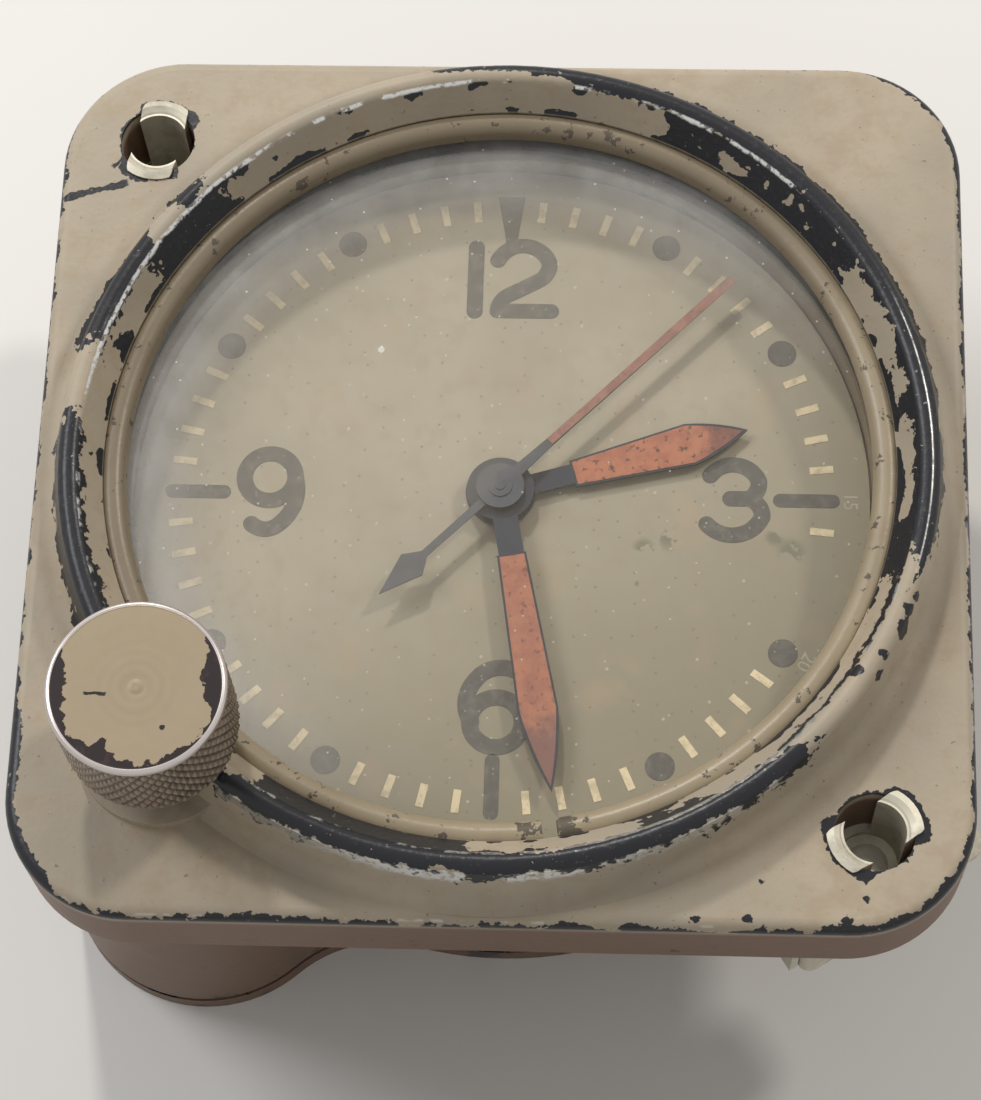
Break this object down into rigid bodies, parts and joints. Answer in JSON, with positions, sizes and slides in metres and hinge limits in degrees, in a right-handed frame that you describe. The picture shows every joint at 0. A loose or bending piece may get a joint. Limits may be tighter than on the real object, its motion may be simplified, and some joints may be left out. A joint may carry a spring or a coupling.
{
  "type": "aircraft panel clock",
  "caption": "Round-dial aircraft panel clock with square flange, hour, minute and sweep second hands, glass, wind-and-set knob and a geared movement.",
  "frame": {"origin": "dial axis in the front plane of the square mounting flange", "axes": "+Z out of the dial, +Y to twelve o'clock, +X to three o'clock"},
  "size_m": [0.0613, 0.0613, 0.0395],
  "materials": {
    "beige_paint": "satin",
    "glass": "clear",
    "gasket_rubber": "matte",
    "brass": "satin",
    "cadmium_steel": "satin",
    "steel": "polished",
    "blued_steel": "satin",
    "knob_nickel": "satin",
    "dial_paint": "matte",
    "figure_paint": "matte",
    "cream_paint": "matte",
    "orange_lume": "matte",
    "red_paint": "matte",
    "painted_wire": "satin"
  },
  "bodies": {
    "case": {"case_casting": "beige_paint", "crystal": "glass", "crystal_gasket": "gasket_rubber", "retaining_ring": "painted_wire", "rear_gasket": "gasket_rubber", "rear_cover": "beige_paint", "rear_cover_screws": "steel", "panel_nut_clips": "cadmium_steel", "panel_nuts": "cadmium_steel", "stem_bush": "brass", "detent_post": "steel", "dial": "dial_paint", "dial_figures": "figure_paint", "minute_track": "cream_paint", "motion_studs": "steel", "main_plate": "brass", "rear_plate": "brass", "plate_pillars": "brass", "plate_screws": "steel", "movement_screws": "steel", "winding_studs": "steel", "click_spring": "blued_steel", "pallet_cock": "brass", "hairspring": "blued_steel", "balance_cock": "brass", "balance_cock_screw": "steel"},
    "minute_arbor": {"minute_hand": "blued_steel", "minute_hand_lume": "orange_lume", "cannon_pinion": "steel", "centre_wheel": "brass"},
    "hour_pipe": {"hour_hand": "blued_steel", "hour_hand_lume": "orange_lume", "hour_wheel": "brass"},
    "sweep_arbor": {"second_hand": "blued_steel", "second_hand_lume": "red_paint", "fourth_wheel": "brass"},
    "third_arbor": {"third_wheel": "brass"},
    "escape_arbor": {"escape_wheel": "brass"},
    "minute_wheel_body": {"minute_wheel": "brass"},
    "setting_wheel_body": {"setting_wheel": "brass"},
    "going_barrel": {"barrel": "brass", "barrel_cover": "brass", "mainspring": "blued_steel"},
    "ratchet": {"ratchet_wheel": "steel", "barrel_arbor": "steel"},
    "idler": {"winding_idler": "steel"},
    "fork": {"detent_fork": "steel"},
    "knob_and_stem": {"knob": "knob_nickel", "knob_set_screw": "steel", "winding_stem": "steel", "winding_pinion": "steel", "setting_pinion": "steel"},
    "click_body": {"click": "steel"},
    "lever": {"pallet_lever": "steel"},
    "balance": {"balance_wheel": "brass"}
  },
  "joints": [
    {"name": "minute_turn", "type": "hinge", "parent": "case", "child": "minute_arbor", "pos_m": [0, 0, -0.008], "axis": [0, 0, -1], "continuous": true},
    {"name": "hour_turn", "type": "hinge", "parent": "case", "child": "hour_pipe", "pos_m": [0, 0, -0.005], "axis": [0, 0, -1], "continuous": true},
    {"name": "second_turn", "type": "hinge", "parent": "case", "child": "sweep_arbor", "pos_m": [0, 0, -0.016], "axis": [0, 0, -1], "continuous": true},
    {"name": "third_turn", "type": "hinge", "parent": "case", "child": "third_arbor", "pos_m": [0.00779, -0.0045, -0.015], "axis": [0, 0, -1], "continuous": true},
    {"name": "escape_turn", "type": "hinge", "parent": "case", "child": "escape_arbor", "pos_m": [-0.00573, 0.00683, -0.013], "axis": [0, 0, -1], "continuous": true},
    {"name": "minute_wheel_turn", "type": "hinge", "parent": "case", "child": "minute_wheel_body", "pos_m": [-0.00437, -0.00411, -0.006], "axis": [0, 0, -1], "continuous": true},
    {"name": "setting_wheel_turn", "type": "hinge", "parent": "case", "child": "setting_wheel_body", "pos_m": [-0.01367, -0.01017, -0.006], "axis": [0, 0, -1], "continuous": true},
    {"name": "barrel_turn", "type": "hinge", "parent": "case", "child": "going_barrel", "pos_m": [-0.00688, -0.00648, -0.012], "axis": [0, 0, -1], "continuous": true},
    {"name": "knob_pull", "type": "slide", "parent": "case", "child": "fork", "axis": [0, 0, 1], "range_m": [0, 0.002]},
    {"name": "knob_turn", "type": "hinge", "parent": "fork", "child": "knob_and_stem", "pos_m": [-0.0205, -0.0193, 0], "axis": [0, 0, -1], "continuous": true},
    {"name": "idler_turn", "type": "hinge", "parent": "case", "child": "idler", "pos_m": [-0.01405, -0.01547, -0.019], "axis": [0, 0, -1], "continuous": true},
    {"name": "ratchet_turn", "type": "hinge", "parent": "case", "child": "ratchet", "pos_m": [-0.00688, -0.00648, -0.019], "axis": [0, 0, -1], "continuous": true},
    {"name": "click_lift", "type": "hinge", "parent": "case", "child": "click_body", "pos_m": [-0.01198, 0.00168, -0.019], "axis": [0, 0, -1], "range_deg": [-6, 7]},
    {"name": "lever_swing", "type": "hinge", "parent": "case", "child": "lever", "pos_m": [-0.00259, 0.00918, -0.01], "axis": [0, 0, -1], "range_deg": [-5, 5]},
    {"name": "balance_swing", "type": "hinge", "parent": "case", "child": "balance", "pos_m": [0.00107, 0.01193, -0.012], "axis": [0, 0, -1], "range_deg": [-270, 270], "stiffness_Nm_per_rad": 0.0000025}
  ],
  "couplings": [
    {"joint": "hour_turn", "follows": "minute_turn", "ratio": 0.083333},
    {"joint": "minute_wheel_turn", "follows": "minute_turn", "ratio": -0.33333},
    {"joint": "setting_wheel_turn", "follows": "minute_turn", "ratio": 0.22727},
    {"joint": "barrel_turn", "follows": "minute_turn", "ratio": -0.125},
    {"joint": "third_turn", "follows": "minute_turn", "ratio": -8},
    {"joint": "second_turn", "follows": "minute_turn", "ratio": 60},
    {"joint": "escape_turn", "follows": "minute_turn", "ratio": -600},
    {"joint": "idler_turn", "follows": "knob_turn", "ratio": -0.66667},
    {"joint": "ratchet_turn", "follows": "knob_turn", "ratio": 0.42857}
  ]
}
